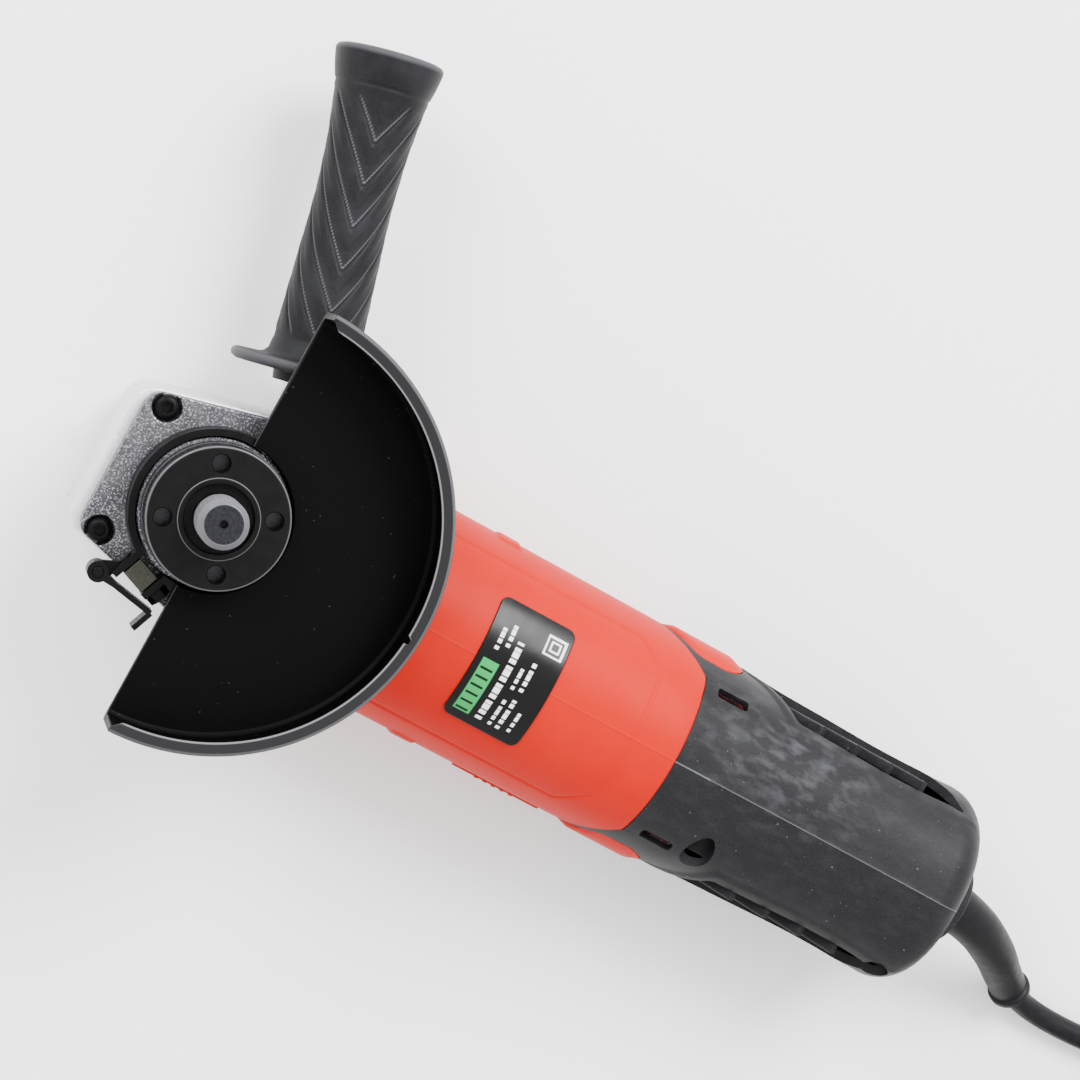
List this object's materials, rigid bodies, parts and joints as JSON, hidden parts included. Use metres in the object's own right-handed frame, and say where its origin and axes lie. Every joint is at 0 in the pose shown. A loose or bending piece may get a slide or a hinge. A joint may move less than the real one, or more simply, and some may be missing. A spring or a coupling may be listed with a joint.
{
  "type": "angle grinder",
  "caption": "Corded angle grinder with a half guard on a lever clamp, a side handle, a slide switch and a spindle lock, lying spindle up.",
  "frame": {"origin": "centre of the flat top of the gear case, under the spindle axis; the tool lies on that face", "axes": "+X back along the motor axis to the cord, +Y to the side handle, +Z along the spindle to the disc side"},
  "size_m": [0.4948, 0.2674, 0.0935],
  "materials": {
    "cast_aluminium": "sand cast, blasted, speckled grey",
    "machined_steel": "turned and ground steel",
    "zinc_steel": "zinc plated screws and stud",
    "black_oxide_steel": "blackened turned steel with bright edges",
    "black_enamel_steel": "gloss black enamel on pressed steel",
    "gear_steel": "hardened steel, oiled",
    "spring_steel": "drawn spring wire",
    "lamination_steel": "stacked electrical steel sheets",
    "enamelled_copper": "varnished copper wire",
    "brass": "stamped brass",
    "carbon": "pressed carbon",
    "red_plastic": "moulded glass-filled nylon, satin red",
    "black_plastic": "moulded glass-filled nylon, matte black",
    "grip_rubber": "moulded soft grip",
    "cord_rubber": "extruded rubber sheath",
    "label_film": "printed gloss film",
    "yellow_film": "film capacitor case",
    "wire_sheath": "PVC wire insulation"
  },
  "bodies": {
    "root": {"gear_case": "cast_aluminium", "bearing_cover": "cast_aluminium", "cover_screws": "black_oxide_steel", "case_screws": "black_oxide_steel", "needle_bearing": "machined_steel", "spindle_bearing": "machined_steel", "bearing_retainer": "machined_steel", "spindle_seal": "cord_rubber", "lock_spring": "spring_steel", "front_motor_bearing": "machined_steel", "rear_motor_bearing": "machined_steel", "air_baffle": "black_plastic", "stator_core": "lamination_steel", "stator_windings": "enamelled_copper", "motor_housing": "red_plastic", "rating_label": "label_film", "brush_holders": "brass", "carbon_brushes": "carbon", "brush_springs": "spring_steel", "brush_cover_right": "red_plastic", "brush_cover_left": "red_plastic", "rear_handle_right": "black_plastic", "rear_handle_left": "black_plastic", "handle_screws": "black_oxide_steel", "switch_unit": "black_plastic", "capacitor": "yellow_film", "lead_wires": "wire_sheath", "cord_clamp": "black_plastic", "clamp_screws": "black_oxide_steel", "strain_relief": "cord_rubber", "side_handle_grip": "grip_rubber", "side_handle_stud": "zinc_steel", "power_cord": "cord_rubber", "cord_coil": "cord_rubber", "cord_tie": "black_plastic", "plug_body": "black_plastic", "plug_pins": "machined_steel"},
    "armature": {"armature_shaft": "machined_steel", "armature_core": "lamination_steel", "armature_windings": "enamelled_copper", "commutator": "enamelled_copper", "cooling_fan": "black_plastic", "pinion": "gear_steel", "pinion_nut": "zinc_steel"},
    "spindle": {"spindle": "black_oxide_steel", "bevel_gear": "gear_steel", "inner_flange": "black_oxide_steel", "lock_nut": "black_oxide_steel"},
    "guard": {"guard_pan": "black_enamel_steel", "guard_band": "black_enamel_steel", "band_bolt": "zinc_steel", "band_block": "gear_steel", "lever_pin": "zinc_steel"},
    "lever": {"clamp_lever": "black_enamel_steel"},
    "lock_button": {"lock_button": "black_plastic"},
    "slide_switch": {"slide_button": "red_plastic", "switch_rod": "gear_steel"}
  },
  "joints": [
    {"name": "armature_spin", "type": "hinge", "parent": "root", "child": "armature", "pos_m": [0.1, 0, 0.034], "axis": [1, 0, 0], "continuous": true},
    {"name": "spindle_spin", "type": "hinge", "parent": "root", "child": "spindle", "pos_m": [0, 0, 0.06], "axis": [0, 0, 1], "continuous": true},
    {"name": "guard_turn", "type": "hinge", "parent": "root", "child": "guard", "pos_m": [0, 0, 0.0725], "axis": [0, 0, 1], "range_deg": [-90, 45]},
    {"name": "lever_open", "type": "hinge", "parent": "guard", "child": "lever", "pos_m": [-0.0203, -0.02916, 0.062], "axis": [0, 0, -1], "range_deg": [0, 100]},
    {"name": "lock_press", "type": "slide", "parent": "root", "child": "lock_button", "axis": [0, 0, 1], "range_m": [0, 0.004], "stiffness_N_per_m": 300, "springref_m": -0.004, "deforming": ["lock_spring"]},
    {"name": "switch_slide", "type": "slide", "parent": "root", "child": "slide_switch", "axis": [-1, 0, 0], "range_m": [0, 0.007]}
  ],
  "couplings": [
    {"joint": "spindle_spin", "follows": "armature_spin", "ratio": -0.33333}
  ]
}
